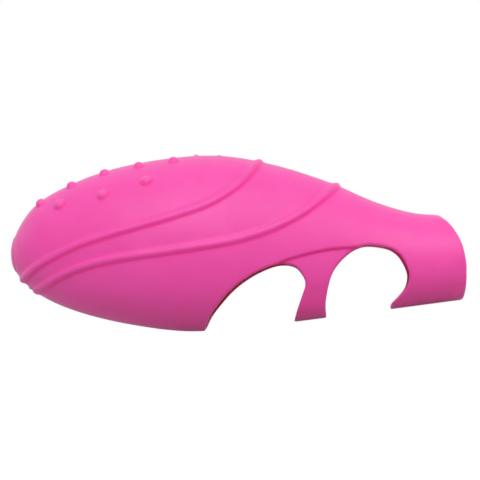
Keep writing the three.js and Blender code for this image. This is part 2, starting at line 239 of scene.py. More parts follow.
class SideTable:
    """Values on a fine side-view grid, looked up with bilinear interpolation."""

    SPACING = 0.2
    LOW = np.array([TIP_X - 4, BELOW - 1])
    SHAPE = (600, 270)

    def __init__(self, value_at):
        x = self.LOW[0] + self.SPACING * np.arange(self.SHAPE[0])
        z = self.LOW[1] + self.SPACING * np.arange(self.SHAPE[1])
        self.values = value_at(*np.meshgrid(x, z, indexing="ij"))

    def __call__(self, x, z):
        i = np.clip((x - self.LOW[0]) / self.SPACING, 0, self.SHAPE[0] - 1.001)
        k = np.clip((z - self.LOW[1]) / self.SPACING, 0, self.SHAPE[1] - 1.001)
        i0, k0 = i.astype(int), k.astype(int)
        a, b = i - i0, k - k0
        lower, upper = (
            self.values[i0, k] * (1 - a) + self.values[i0 + 1, k] * a for k in (k0, k0 + 1)
        )
        return lower * (1 - b) + upper * b


def path_distance(path):
    def at(x, z):
        best = np.full(x.shape, 1e9)
        for (x0, z0), (x1, z1) in zip(path[:-1], path[1:]):
            dx, dz = x1 - x0, z1 - z0
            t = np.clip(((x - x0) * dx + (z - z0) * dz) / (dx * dx + dz * dz), 0, 1)
            best = np.minimum(best, (x - x0 - t * dx) ** 2 + (z - z0 - t * dz) ** 2)
        return np.sqrt(best)

    return at


def cut_table(*parts):
    """Signed distance to a closed side-view outline, negative inside."""
    path = np.vstack(parts)
    closed = np.vstack([path, path[:1]])
    distance = path_distance(closed)

    def at(x, z):
        inside = np.zeros(x.shape, bool)
        for (x0, z0), (x1, z1) in zip(closed[:-1], closed[1:]):
            if z0 != z1:
                inside ^= ((z0 > z) != (z1 > z)) & (x < (x1 - x0) * (z - z0) / (z1 - z0) + x0)
        return np.where(inside, -1, 1) * distance(x, z)

    return SideTable(at)


def height_over(path, x, z):
    return np.interp(x, path[:, 0], path[:, 1]) - z


def distance_from(centre, x, y, z):
    return np.sqrt((x - centre[0]) ** 2 + (y - centre[1]) ** 2 + (z - centre[2]) ** 2)


# ---------------- sleeve field

top_at, bottom_at, half_width_at = map(outline, (TOP_LINE, BOTTOM_LINE, HALF_WIDTH))


def section_tables(step=0.05, ahead=80):
    """The body's elliptical section along x: height over width, middle, product of half axes."""
    x = np.arange(TIP_X, 6, step)
    high, wide = (top_at(x) - bottom_at(x)) / 2, half_width_at(x)
    ratio, middle, product = np.ones_like(x), (top_at(x) + bottom_at(x)) / 2, high * wide
    ratio[1:] = high[1:] / wide[1:]
    ratio[0] = ratio[1]
    ratio, middle = (np.pad(v, (ahead, 0), "edge") for v in (ratio, middle))
    product = np.concatenate([np.arange(-ahead, 0) * product[10] / 10, product])
    x = np.concatenate([TIP_X + step * np.arange(-ahead, 0), x])
    return x, [(v, np.gradient(v, x)) for v in (ratio, middle, product)]


SECTION_X, SECTION = section_tables()


def body_field(x, y, z):
    (q, dq), (m, dm), (p, dp) = [
        (np.interp(x, SECTION_X, v), np.interp(x, SECTION_X, d)) for v, d in SECTION
    ]
    up = z - m
    value = y * y * q + up * up / q - p
    gx = y * y * dq - up * up * dq / (q * q) - 2 * up * dm / q - dp
    slope = np.sqrt(gx**2 + (2 * y * q) ** 2 + (2 * up / q) ** 2)
    return value / np.maximum(slope, 1e-3)


rib_paths = [catmull(path, 6) for path in RIBS]
rib_distances = [SideTable(path_distance(path)) for path in rib_paths]
step_path = catmull(STEP_LINE, 8)
cuts = [
    cut_table((arch[0][0] - 1, BELOW), catmull(arch), (arch[-1][0], BELOW))
    for arch in (HEAD_ARCH, HAND_ARCH)
]
mouth_cut = cut_table(
    catmull(MOUTH), (MOUTH[-1][0], BELOW), (BEHIND, BELOW), (BEHIND, ABOVE), (MOUTH[0][0], ABOVE)
)


def nub_centres():
    centres = []
    for x, z in NUBS:
        middle, high = (top_at(x) + bottom_at(x)) / 2, (top_at(x) - bottom_at(x)) / 2
        angle = math.acos(min(1, (z - middle) / high))
        depth = 1 - NUB_SUNK / high
        y = half_width_at(x) * math.sin(angle) * depth
        centres.append((x, y, middle + high * math.cos(angle) * depth))
    return np.array(centres, float)


NUB_CENTRES = nub_centres()


def bore_field(x, y, z):
    parallel = np.hypot(y, z - BORE_Z) - BORE_R
    tip_x, tip_z, tip_r = FINGERTIP
    t = np.clip((x - tip_x) / (BORE_END_X - tip_x), 0, 1)
    centre = (tip_x + t * (BORE_END_X - tip_x), 0, tip_z + t * (BORE_Z - tip_z))
    taper = distance_from(centre, x, y, z) - (tip_r + t * (BORE_R - tip_r))
    return np.where(x > BORE_END_X, parallel, taper)


def pocket_field(x, y, z):
    dx, dz = x - CAPSULE_NOSE[0], z - CAPSULE_NOSE[1]
    s = dx * math.cos(CAPSULE_TILT) + dz * math.sin(CAPSULE_TILT)
    v = dz * math.cos(CAPSULE_TILT) - dx * math.sin(CAPSULE_TILT)
    r = np.hypot(y, v)
    front = POCKET_FRONT + POCKET_NOSE
    length = np.where(s < front, POCKET_NOSE, POCKET_DOME)
    beyond = np.where(s < front, front - s, np.maximum(s - POCKET_END, 0))
    e = (r / POCKET_R) ** 2 + (beyond / length) ** 2 - 1
    slope = 2 * np.sqrt((r / POCKET_R**2) ** 2 + (beyond / length**2) ** 2)
    return e / np.maximum(slope, 1e-3)


def window_field(x, y, z):
    q = [
        np.abs(v - middle) - half + WINDOW_ROUND
        for v, middle, half in zip((x, y, z), WINDOW_CENTRE, WINDOW_HALF)
    ]
    outside = np.sqrt(sum(np.maximum(v, 0) ** 2 for v in q))
    return outside + np.minimum(np.maximum.reduce(q), 0) - WINDOW_ROUND


def from_nub_side(away, body):
    """Distance out from a nub's side, given the distances to its centre and to the body."""
    return np.sqrt(np.maximum(away**2 - (body + NUB_SUNK) ** 2, 0)) - NUB_SIDE


def sleeve_field(x, y, z):
    y = np.abs(y)
    f = body_field(x, y, z)
    for distance in rib_distances:
        bead = np.hypot(distance(x, z), f + RIB_SUNK) - RIB_R
        f = smooth_min(f, bead, RIB_BLEND)
    recess = smoothstep(*STEP_EDGE, height_over(step_path, x, z)) * smoothstep(*STEP_FOOT, z)
    for ends in STEP_ENDS:
        recess = recess * smoothstep(*ends, x)
    f = f + STEP_DEPTH * recess
    pad = np.sqrt((y / PAD_HALF[0]) ** 2 + ((z - PAD_Z) / PAD_HALF[1]) ** 2)
    f = f - PAD_HEIGHT * smoothstep(*PAD_EDGE, pad) * smoothstep(*PAD_FRONT, x)
    for centre in NUB_CENTRES:
        near = np.abs(x - centre[0]) < NUB_REACH
        away = distance_from(centre, x[near], y[near], z[near])
        nub = smooth_max(away - NUB_R, from_nub_side(away, f[near]), NUB_ROUND)
        f[near] = smooth_min(f[near], nub, NUB_BLEND)
    for cx, cz in LOW_NUBS:
        f = smooth_min(f, distance_from((cx, 0, cz), x, y, z) - LOW_NUB_R, LOW_NUB_BLEND)
    hollow = smooth_min(bore_field(x, y, z), window_field(x, y, z), WINDOW_BLEND)
    hollow = smooth_min(hollow, pocket_field(x, y, z), POCKET_BLEND)
    f = smooth_max(f, -hollow, HOLLOW_EDGE)
    for cut in cuts:
        f = smooth_max(f, -cut(x, z), ARCH_EDGE)
    return smooth_max(f, -mouth_cut(x, z), MOUTH_EDGE)


# ---------------- field to mesh

def gradient(p, h=0.05):
    g = np.empty_like(p)
    for axis in range(3):
        step = h * np.eye(3)[axis]
        g[:, axis] = (sleeve_field(*(p + step).T) - sleeve_field(*(p - step).T)) / (2 * h)
    return g


def project(p, rounds):
    """Moves points onto the surface, by half a cell at most in each round."""
    for _ in range(rounds):
        g = gradient(p)
        move = sleeve_field(*p.T)[:, None] * g / np.maximum((g * g).sum(1), 0.05)[:, None]
        length = np.linalg.norm(move, axis=1)[:, None]
        p = p - move * np.minimum(1, 0.5 * CELL_SIZE / np.maximum(length, 1e-9))
    return p


def surface_nets(values, low):
    """Quads over the zero level of a grid of values, with a point in each cell that it crosses."""
    inside = values < 0
    corners = list(np.ndindex(2, 2, 2))

    def at(grid, corner):
        return grid[tuple(slice(o, n - 1 + o) for o, n in zip(corner, grid.shape))]

    count = sum(at(inside, c).astype(np.int8) for c in corners)
    active = (count > 0) & (count < 8)
    cells = np.argwhere(active)
    index = np.full(active.shape, -1, np.int64)
    index[active] = np.arange(len(cells))
    total, hits = np.zeros((len(cells), 3)), np.zeros(len(cells))
    for a in corners:
        for axis in range(3):
            if a[axis]:
                continue
            along = np.eye(3, dtype=int)[axis]
            va, vb = at(values, a)[active], at(values, along + a)[active]
            crossed = (va < 0) != (vb < 0)
            t = va / np.where(crossed, va - vb, 1)
            total += np.where(crossed[:, None], a + np.outer(t, along), 0)
            hits += crossed
    quads = []
    for axis in range(3):
        before = [slice(1, -1)] * 3
        after = list(before)
        before[axis], after[axis] = slice(0, -1), slice(1, None)
        was = inside[tuple(before)]
        edges = np.argwhere(was != inside[tuple(after)])
        leaving = was[tuple(edges.T)]
        around = [np.roll((0, u, v), axis) for u, v in ((0, 0), (1, 0), (1, 1), (0, 1))]
        ring = np.stack([index[tuple((edges + offset).T)] for offset in around], 1)
        ring[~leaving] = ring[~leaving][:, ::-1]
        quads.append(ring)
    return low + CELL_SIZE * (cells + total / hits[:, None]), np.vstack(quads)


def relax(points, quads, rounds=2, share=0.6):
    """Evens out the quads, with the points kept on the surface."""
    a = quads.ravel()
    b = np.roll(quads, -1, axis=1).ravel()
    start, end = np.concatenate([a, b]), np.concatenate([b, a])
    degree = np.bincount(start, minlength=len(points))[:, None]
    for _ in range(rounds):
        total = np.stack([np.bincount(start, points[end, i], len(points)) for i in range(3)], 1)
        points = project(points + share * (total / degree - points), 1)
    return points


def add_object(name, data):
    made = bpy.data.objects.new(name, data)
    bpy.context.collection.objects.link(made)
    return made


def smooth_mesh(name, points, faces):
    mesh = bpy.data.meshes.new(name)
    mesh.from_pydata(points, [], faces)
    mesh.shade_smooth()
    return mesh


def fold(out, half):
    return np.exp(-((out / half) ** 2))


def painted_fold_shade(x, y, z):
    """Painted shade under a bead, a nub or the loop's step: how strongly a point of the skin takes
    it.
    """
    depth = np.zeros_like(x)
    for path, distance in zip(rib_paths, rib_distances):
        below = smoothstep(0, 0.4, height_over(path, x, z))
        near = fold(distance(x, z) - RIB_R - RIB_FOLD, FOLD_HALF)
        depth = np.maximum(depth, near * (0.1 + 0.55 * below))
    near = 0.8 * fold(height_over(step_path, x, z) - STEP_FOLD, FOLD_HALF)
    for ends in STEP_FOLD_ENDS:
        near = near * smoothstep(*ends, x)
    depth = np.maximum(depth, near)
    body = body_field(x, y, z)
    for centre in NUB_CENTRES:
        away = distance_from(centre, x, np.abs(y), z)
        near = fold(from_nub_side(away, body) - NUB_FOLD, NUB_FOLD_HALF) * (away < NUB_REACH)
        # Painted shade, darkest under a nub, and on the nubs that stand out sideways.
        near = near * (0.15 + 0.45 * smoothstep(5.5, 8, centre[1]))
        depth = np.maximum(depth, near * smoothstep(0.9, -0.1, (z - centre[2] - 0.6) / NUB_SIDE))
    return depth


def painted_nub_highlight(x, y, z):
    """Painted highlight: 1 on the nubs, which are painted lighter, and 0 on the rest of the skin.
    """
    away = np.min([distance_from(centre, x, np.abs(y), z) for centre in NUB_CENTRES], axis=0)
    return smoothstep(NUB_R + 0.3, NUB_R - 0.1, away) * smoothstep(0.1, 0.4, body_field(x, y, z))


def painted_wall_shade(x, y, z):
    """Painted shade: 1 on the arches' walls at the head, half at the rear loop, and 0 elsewhere and
    at edges.
    """
    on_wall = np.maximum.reduce([smoothstep(0.6, 0.2, np.abs(cut(x, z))) for cut in cuts])
    along = np.maximum(smoothstep(*HEAD_WALL_SHADE, x), 0.5 * smoothstep(*REAR_WALL_SHADE, x))
    return on_wall * smoothstep(0.3, 0.8, -body_field(x, y, z)) * along


def make_sleeve():
    """The whole skin, from a grid over one half of it that reaches past it on every side."""
    low = np.array([TIP_X - 1.5, 0, -1.2])
    high = np.array([1.2, 19.0, 45.6])
    n = np.ceil((high - low) / CELL_SIZE).astype(int) + 1
    x = low[0] + CELL_SIZE * np.arange(n[0])
    y = CELL_SIZE * (np.arange(n[1]) + 0.5)
    yy, zz = np.meshgrid(y, low[2] + CELL_SIZE * np.arange(n[2]), indexing="ij")
    half = np.stack([sleeve_field(np.full(yy.shape, value), yy, zz) for value in x])
    low[1] = -y[-1]
    points, quads = surface_nets(np.concatenate([half[:, ::-1], half], axis=1), low)
    points = relax(project(points, 3), quads)
    # Masks of painted light and shade: shade in the creases, a highlight on the nubs, shade on the
    # arches' walls.
    masks = {
        "crease": painted_fold_shade(*points.T),
        "nub": painted_nub_highlight(*points.T),
        "wall": painted_wall_shade(*points.T),
    }
    points[:, 2] -= BORE_Z
    mesh = smooth_mesh("sleeve_skin", points * MM, quads)
    # Faces deep in the painted wall shade take the sheen-free, shaded copy of the silicone.
    on_wall = masks["wall"][quads].min(axis=1) > 0.5
    mesh.polygons.foreach_set("material_index", on_wall.astype(np.int32))
    for name, values in masks.items():
        mask = mesh.attributes.new(name, "FLOAT", "POINT")
        mask.data.foreach_set("value", values.astype(np.float32))
    return add_object("sleeve_skin", mesh)


# ---------------- materials

class Nodes:
    """The node tree of a material or a world, built up with short calls."""

    def __init__(self, owner, shader="Principled BSDF", space="Object"):
        owner.use_nodes = True
        self.owner = owner
        self.tree = owner.node_tree
        self.shader = self.tree.nodes[shader]
        self.coordinates = self.add("ShaderNodeTexCoord").outputs[space]

    def put(self, socket, value):
        """Links another node's output to a socket, or gives it a plain value."""
        if isinstance(value, bpy.types.NodeSocket):
            self.tree.links.new(value, socket)
        else:
            socket.default_value = (*value, 1) if socket.type == "RGBA" else value

    def fill(self, node, inputs):
        for key, value in inputs.items():
            self.put(node.inputs[key.replace("_", " ")], value)
        return node

    def add(self, kind, **inputs):
        return self.fill(self.tree.nodes.new(kind), inputs)

    def shade(self, **inputs):
        """Sets the shader's inputs, and returns the finished material or world."""
        self.fill(self.shader, inputs)
        return self.owner

    def noise(self, scale, detail, roughness=0.55, vector=None):
        vector = vector or self.coordinates
        return self.add(
            "ShaderNodeTexNoise", Scale=scale, Detail=detail, Roughness=roughness, Vector=vector
        ).outputs["Fac"]

    def attribute(self, name):
        node = self.add("ShaderNodeAttribute")
        node.attribute_name = name
        return node.outputs["Fac"]

    def ramp(self, fac, *stops):
        node = self.add("ShaderNodeValToRGB", Fac=fac)
        while len(node.color_ramp.elements) < len(stops):
            node.color_ramp.elements.new(0.5)
        for element, (position, colour) in zip(node.color_ramp.elements, stops):
            element.position = position
            element.color = (*colour, 1)
        return node.outputs["Color"]

    def mix(self, fac, a, b):
        node = self.add("ShaderNodeMix")
        node.data_type = "RGBA"
        for i, value in ((0, fac), (6, a), (7, b)):
            self.put(node.inputs[i], value)
        return node.outputs[2]

    def math(self, operation, *values):
        node = self.add("ShaderNodeMath")
        node.operation = operation
        for socket, value in zip(node.inputs, values):
            self.put(socket, value)
        return node.outputs[0]

    def span(self, value, low, high, start=0.0, end=1.0, kind="LINEAR"):
        """Takes start to low and end to high."""
        node = self.add("ShaderNodeMapRange")
        node.interpolation_type = kind
        for socket, number in zip(node.inputs, (value, start, end, low, high)):
            self.put(socket, number)
        return node.outputs["Result"]

    def bump(self, height, distance, strength, **normal):
        return self.add(
            "ShaderNodeBump", Height=height, Distance=distance, Strength=strength, **normal
        ).outputs["Normal"]


def srgb(*levels):
    return tuple(((v / 255 + 0.055) / 1.055) ** 2.4 if v > 10 else v / 255 / 12.92 for v in levels)


BLACK, WHITE = (0, 0, 0), (1, 1, 1)
# Painted shade on the arches' walls.
WALL_SHADE_COLOUR = srgb(220, 12, 92)
# Painted highlight on the nubs.
NUB_HIGHLIGHT_COLOUR = srgb(255, 92, 180)
LINT_COLOUR = srgb(255, 205, 225)


def silicone(name, colour, deep, fold_shade_colour=None, sheen=0.4):
    """Moulded silicone with a satin mould texture, faint clouding and a few specks of lint."""
    n = Nodes(bpy.data.materials.new(name))
    base = n.ramp(n.noise(110, 4), (0.35, deep), (0.65, colour))
    specks = n.add("ShaderNodeTexVoronoi", Scale=210, Vector=n.coordinates)
    rare = n.ramp(specks.outputs["Color"], (0.0, BLACK), (0.86, BLACK), (0.9, WHITE))
    close = n.ramp(specks.outputs["Distance"], (0.0, WHITE), (0.028, WHITE), (0.045, BLACK))
    base = n.mix(n.span(n.math("MULTIPLY", rare, close), 0, 0.45), base, LINT_COLOUR)
    # Painted light from the skin's masks: a lighter tint on the nubs, deeper tints in the creases
    # and on the arches' walls.
    if fold_shade_colour:
        for mask, tint in (("nub", NUB_HIGHLIGHT_COLOUR), ("crease", fold_shade_colour), ("wall", WALL_SHADE_COLOUR)):
            base = n.mix(n.attribute(mask), base, tint)
    fine = n.bump(n.noise(5200, 2), 0.00001, 0.5)
    return n.shade(
        Base_Color=base,
        Roughness=n.span(n.noise(700, 4), 0.46, 0.58, 0.3, 0.7),
        Normal=n.bump(n.noise(900, 3), 0.00003, 0.35, Normal=fine),
        Subsurface_Weight=0.35,
        Subsurface_Radius=(1.0, 0.25, 0.5),
        Subsurface_Scale=0.0022,
        Specular_IOR_Level=0.4,
        Sheen_Weight=sheen,
        Sheen_Roughness=0.4,
    )


# ---------------- capsule shapes
# The capsule's parts are drawn along its axis in mm: X is 0 at its nose and grows to the rear, and
# Z is its upper side.

ALONG = (
    Matrix.Translation((CAPSULE_NOSE[0] * MM, 0, (CAPSULE_NOSE[1] - BORE_Z) * MM))
    @ Matrix.Rotation(-CAPSULE_TILT, 4, "Y")
    @ Matrix.Scale(MM, 4)
)
SUPPORT = 0.05  # distance of the extra points that hold a flat face's shading flat


def rounded(points, steps=4):
    """Rounds each corner that has a third number to that radius, and adds points next to it."""
    corners = [np.array(point[:2], float) for point in points]
    out = []
    for i, corner in enumerate(corners):
        radius = points[i][2] if len(points[i]) > 2 else 0
        if radius == 0:
            out.append(corner)
            continue
        before, after = corners[i - 1] - corner, corners[(i + 1) % len(points)] - corner
        long_before, long_after = np.linalg.norm(before), np.linalg.norm(after)
        before, after = before / long_before, after / long_after
        half = math.acos(np.clip(before @ after, -1, 1)) / 2
        reach = min(radius / math.tan(half), 0.45 * long_before, 0.45 * long_after)
        radius = reach * math.tan(half)
        inward = (before + after) / np.linalg.norm(before + after)
        centre = corner + inward * radius / math.sin(half)
        if long_before > reach + 4 * SUPPORT:
            out.append(corner + before * (reach + SUPPORT))
        for t in np.linspace(0, 1, steps + 1):
            ray = corner + (before * (1 - t) + after * t) * reach - centre
            out.append(centre + ray * radius / np.linalg.norm(ray))
        if long_after > reach + 4 * SUPPORT:
            out.append(corner + after * (reach + SUPPORT))
    return np.array(out)


def ring_profile(start, end, inner, outer, bore_edge, rim_edge):
    return rounded([
        (start, inner, bore_edge), (start, outer, rim_edge), (end, outer, rim_edge),
        (end, inner, bore_edge),
    ])


def quarter(start, length, radius, steps=20):
    """A quarter ellipse of (x, radius) points that starts on the axis."""
    angles = np.linspace(0, math.pi / 2, steps + 1)
    return [(start + length * (1 - math.cos(a)), radius * math.sin(a)) for a in angles]


def even_angles(steps, *extra):
    return sorted({*(360 * i / steps for i in range(steps)), *(a % 360 for a in extra)})


def on_circle(radius, angle):
    """The (y, z) point at an angle in degrees, which goes from the upper side towards +Y."""
    return radius * math.sin(math.radians(angle)), radius * math.cos(math.radians(angle))


def half_angle(half_width, radius):
    return math.degrees(math.asin(half_width / radius))


def part_from(points, faces, paints, place=None):
    """(points, faces, material index of each face) of one part of a piece."""
    if place is not None:
        points = [place @ Vector(p) for p in points]
    return points, faces, paints


def turned(profile, angles=96, warp=None, paint=0, place=None):
    """Turns (x, radius) points about X. A profile that starts and ends off the axis is closed."""
    profile = np.array([p[:2] for p in profile], float)
    angles = even_angles(angles) if isinstance(angles, int) else angles
    rows, points = [], []
    for x, r in profile:
        row = []
        for angle in angles:
            if r < 1e-6 and row:
                row.append(row[0])
                continue
            px, pr = (x, r) if warp is None else warp(x, r, angle)
            row.append(len(points))
            points.append((px, *on_circle(pr, angle)))
        rows.append(row)
    is_open = profile[0, 1] < 1e-6 and profile[-1, 1] < 1e-6
    faces, paints = [], []
    for i in range(len(rows) - is_open):
        one, two = rows[i], rows[(i + 1) % len(rows)]
        middle = (profile[i] + profile[(i + 1) % len(rows)]) / 2
        for j in range(len(angles)):
            k = (j + 1) % len(angles)
            face = list(dict.fromkeys((one[j], one[k], two[k], two[j])))
            if len(face) > 2:
                faces.append(face)
                paints.append(paint(*middle) if callable(paint) else paint)
    return part_from(points, faces, paints, place)


def lathe(points, steps=4, **how):
    """Turns a profile with rounded corners."""
    return turned(rounded(points, steps), **how)


def tube_faces(rows, sides):
    """Faces between rows of points, and one over each end."""
    faces = []
    for i in range(0, (rows - 1) * sides, sides):
        for j in range(sides):
            k = (j + 1) % sides
            faces.append([i + j, i + k, i + sides + k, i + sides + j])
    return [*faces, list(range(sides))[::-1], list(range((rows - 1) * sides, rows * sides))]


def prism(section, start, end, edge, paint=0, rim=None, place=None):
    """Extrudes a closed (y, z) outline along X, with its rims rounded by edge."""
    ring = np.array(section, float)
    area = np.sum(ring[:, 0] * np.roll(ring[:, 1], -1) - np.roll(ring[:, 0], -1) * ring[:, 1])
    if area < 0:
        ring = ring[::-1]
    before, after = ring - np.roll(ring, 1, 0), np.roll(ring, -1, 0) - ring
    before /= np.linalg.norm(before, axis=1)[:, None]
    after /= np.linalg.norm(after, axis=1)[:, None]
    both = before + after
    inward = np.stack([-both[:, 1], both[:, 0]], 1) / ((both**2).sum(1)[:, None] / 2)
    rim_levels = [
        (edge * (1 - math.sin(a)), edge * (1 - math.cos(a))) for a in np.linspace(math.pi / 2, 0, 4)
    ]
    rim_levels.append((edge + SUPPORT, 0))
    levels = [(start + x, inset) for x, inset in rim_levels]
    levels += [(end - x, inset) for x, inset in rim_levels[::-1]]
    points = [(x, *p) for x, inset in levels for p in ring + inward * inset]
    faces = tube_faces(len(levels), len(ring))
    paints = [paint if rim is None else rim] * (len(faces) - 2) + [paint, paint]
    return part_from(points, faces, paints, place)


def box(x, y, z, edge, paint=0):
    corners = [(y[0], z[0], edge), (y[1], z[0], edge), (y[1], z[1], edge), (y[0], z[1], edge)]
    return prism(rounded(corners, steps=3), *x, edge, paint)


def arc(radius, start, end, step=3.75):
    count = max(2, round(abs(end - start) / step))
    return [on_circle(radius, a) for a in np.linspace(start, end, count + 1)]


def swept(path, radius, sides, paint=0):
    """A round wire along a path of points, with rounded tips."""
    path = np.array(path, float)
    run = np.vstack([path[1:], path[-1:]]) - np.vstack([path[:1], path[:-1]])
    run /= np.linalg.norm(run, axis=1)[:, None]
    tip = np.array([0.999, 0.75, 0.35])
    small = np.sqrt(1 - tip**2) * radius
    radii = [*small, *[radius] * len(path), *small[::-1]]
    front = path[0] - run[0] * radius * tip[:, None]
    back = path[-1] + run[-1] * radius * tip[::-1, None]
    path = np.vstack([front, path, back])
    run = np.vstack([[run[0]] * 3, run, [run[-1]] * 3])
    side = np.cross(run[0], (1, 0, 0) if abs(run[0][0]) < 0.9 else (0, 1, 0))
    angles = np.linspace(0, 2 * math.pi, sides, endpoint=False)
    points = []
    for middle, direction, r in zip(path, run, radii):
        side = side - direction * (side @ direction)
        side /= np.linalg.norm(side)
        other = np.cross(direction, side)
        points += [middle + r * (math.cos(a) * side + math.sin(a) * other) for a in angles]
    faces = tube_faces(len(path), sides)
    return part_from(points, faces, [paint] * len(faces))


def make_piece(node, body, materials, parts):
    """One object from parts, in place, that stands for a CAD node."""
    points, faces, paints = [], [], []
    for more_points, more_faces, more_paints in parts:
        faces += [[len(points) + i for i in face] for face in more_faces]
        points += list(more_points)
        paints += more_paints
    mesh = smooth_mesh(node + "_shape", [ALONG @ Vector(p) for p in points], faces)
    for material in materials:
        mesh.materials.append(material)
    mesh.polygons.foreach_set("material_index", paints)
    bm = bmesh.new()
    bm.from_mesh(mesh)
    bmesh.ops.recalc_face_normals(bm, faces=bm.faces)
    bm.to_mesh(mesh)
    bm.free()
    mesh.set_sharp_from_angle(angle=math.radians(35))
    made = add_object(node + "_shape", mesh)
    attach(made, body)
    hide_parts(node)


# ---------------- capsule dimensions, mm

CAPSULE_R = 7.75
SHELL_IN = 6.6
NOSE_LENGTH = 9
SHELL_END = 40
MOUTH_START = 35.8
MOUTH_IN = 7.0
GROOVE_X = (37.3, 38.7)
GROOVE_R = 7.35
ENTRY_ANGLE = 40  # of the lugs' entry slots, from where the cap is locked
ENTRY_HALF = math.degrees(1.4 / GROOVE_R)
LUG_R = 7.15
LUG_HALF = math.degrees(1.1 / LUG_R)
SPIGOT_R = 6.78
SPIGOT_IN = 6.2
SPIGOT_X = 36.1
CAP_X = 41
CAP_BACK = 48
FLUTES = 14
FLUTE_DEPTH = 0.42
BUTTON_HOLE = 3.2
BUTTON_R = 2.95
BOARD_X = (40, 41)
BOARD_R = 5.95
POLES = (0, 120, 240)
POLE_R, SHOE_IN, HUB_R, NECK_HALF = 2.45, 1.95, 0.95, 0.42
LAMINATIONS, LAMINATION_PITCH, LAMINATION = 12, 0.36, 0.33
CELL_FIRST, CELL_PITCH, CELL_LENGTH, CELL_R = 22, 5.6, 5.4, 5.8


def angle_off(angle, centre, period=360.0):
    """Degrees from the nearest of the angles centre + n * period."""
    return abs((angle - centre + period / 2) % period - period / 2)


def pair_angles(steps, centre, half):
    """Even angles, with more at the sides of two opposite slots or lugs."""
    sides = [centre + side * (half + off) for side in (-1, 1) for off in (0, 0.6)]
    return even_angles(steps, *sides, *(a + 180 for a in sides))


def capsule_shell():
    profile = [
        *quarter(0, NOSE_LENGTH, CAPSULE_R),
        *rounded([
            (20, CAPSULE_R), (SHELL_END, CAPSULE_R, 0.25), (SHELL_END, MOUTH_IN, 0.15),
            (GROOVE_X[1], MOUTH_IN, 0.05), (GROOVE_X[1], GROOVE_R, 0.05),
            (GROOVE_X[0], GROOVE_R, 0.05), (GROOVE_X[0], MOUTH_IN, 0.05),
            (MOUTH_START, MOUTH_IN, 0.1), (MOUTH_START, SHELL_IN, 0.1), (20, SHELL_IN),
        ]),
        *quarter(CAPSULE_R - SHELL_IN, NOSE_LENGTH - CAPSULE_R + SHELL_IN, SHELL_IN)[::-1],
    ]

    def entry(x, r, angle):
        in_slot = angle_off(angle, ENTRY_ANGLE, 180) < ENTRY_HALF + 0.01
        return x, GROOVE_R if in_slot and x > GROOVE_X[1] - 0.06 and r < GROOVE_R else r

    return turned(profile, pair_angles(120, ENTRY_ANGLE, ENTRY_HALF), entry)


def end_cap():
    flute_x = [42, 42.15, 42.4, 42.8, 43.4, 44.2, 45, 45.6, 46, 46.3, 46.5]
    lug_x = [GROOVE_X[0] + 0.2, GROOVE_X[0] + 0.25, GROOVE_X[1] - 0.25, GROOVE_X[1] - 0.2]
    profile = rounded([
        (46.6, BUTTON_HOLE, 0.1), (46.6, SPIGOT_IN, 0.3), (SPIGOT_X, SPIGOT_IN, 0.1),
        (SPIGOT_X, SPIGOT_R, 0.15), *((x, SPIGOT_R) for x in lug_x), (CAP_X, SPIGOT_R, 0.1),
        (CAP_X, CAPSULE_R, 0.2), *((x, CAPSULE_R) for x in flute_x), (CAP_BACK, CAPSULE_R, 1.0),
        (CAP_BACK, 6.0, 0.5), (CAP_BACK - 0.3, 4.4, 0.5), (CAP_BACK - 0.3, BUTTON_HOLE, 0.15),
    ], steps=6)
    pitch = 360 / FLUTES

    def shaped(x, r, angle):
        if abs(r - CAPSULE_R) < 1e-6 and flute_x[0] < x < flute_x[-1]:
            off = angle_off(angle, pitch / 2, pitch)
            ends = smoothstep(42, 42.8, x) * smoothstep(46.5, 45.6, x)
            return x, r - FLUTE_DEPTH * smoothstep(0.36 * pitch, 0.05 * pitch, off) * ends
        on_lug = lug_x[0] + 0.02 < x < lug_x[-1] - 0.02 and abs(r - SPIGOT_R) < 1e-6
        if on_lug and angle_off(angle, 0, 180) < LUG_HALF + 0.01:
            return x, LUG_R
        return x, r

    return turned(profile, pair_angles(FLUTES * 12, 0, LUG_HALF), shaped)


def button():
    return lathe([
        (44.4, 0), (44.4, 1.2, 0.15), (45.5, 1.2, 0.25), (45.5, 4, 0.15), (46.2, 4, 0.15),
        (46.2, BUTTON_R, 0.2), (48.9, BUTTON_R, 0.6), (49, 1.9, 0.8), (48.72, 0.75, 0.3),
        (48.72, 0.5, 0.1), (48.9, 0.35, 0.12), (48.9, 0),
    ], steps=6)


def seal_ring():
    wire = [on_circle(0.335, 90 - a) for a in even_angles(16)]
    return turned([(40.5 + x, 7.265 + r) for x, r in wire])


def switch_parts():
    """A tact switch: a moulded square body with a well, a steel cover and four feet."""

    def square(inner, outer, half):
        def warp(x, r, angle):
            z, y = np.abs(on_circle(1, angle))
            side = half / (y**12 + z**12) ** (1 / 12)
            return x, r + max(0, r - inner) / (outer - inner) * (side - outer)
        return warp

    body = [
        (41.15, 0), (41.15, 2.2, 0.1), (42.85, 2.2, 0.1), (42.85, 1.2, 0.05), (42.2, 1.2, 0.1),
        (42.2, 0),
    ]
    cover = [(42.85, 1.3, 0.03), (42.85, 2.05, 0.03), (43.05, 2.05, 0.08), (43.05, 1.3, 0.06)]
    rivet = [*quarter(-43.1, 0.15, 0.28, 5), (-42.8, 0.28), (-42.8, 0)]
    parts = [
        lathe(body, warp=square(1.2, 2.2, 2.2)),
        lathe(cover, warp=square(1.3, 2.05, 2.05), paint=1),
    ]
    for y in (-1.55, 1.55):
        for z in (-1.55, 1.55):
            place = Matrix.Translation((0, y, z))
            parts.append(turned(rivet, 20, lambda x, r, _: (-x, r), place=place))
    for y in ((-2.75, -2.1), (2.1, 2.75)):
        for z in (-1.4, 1.4):
            parts.append(box((41, 41.22), y, (z - 0.3, z + 0.3), 0.05, paint=1))
    return parts


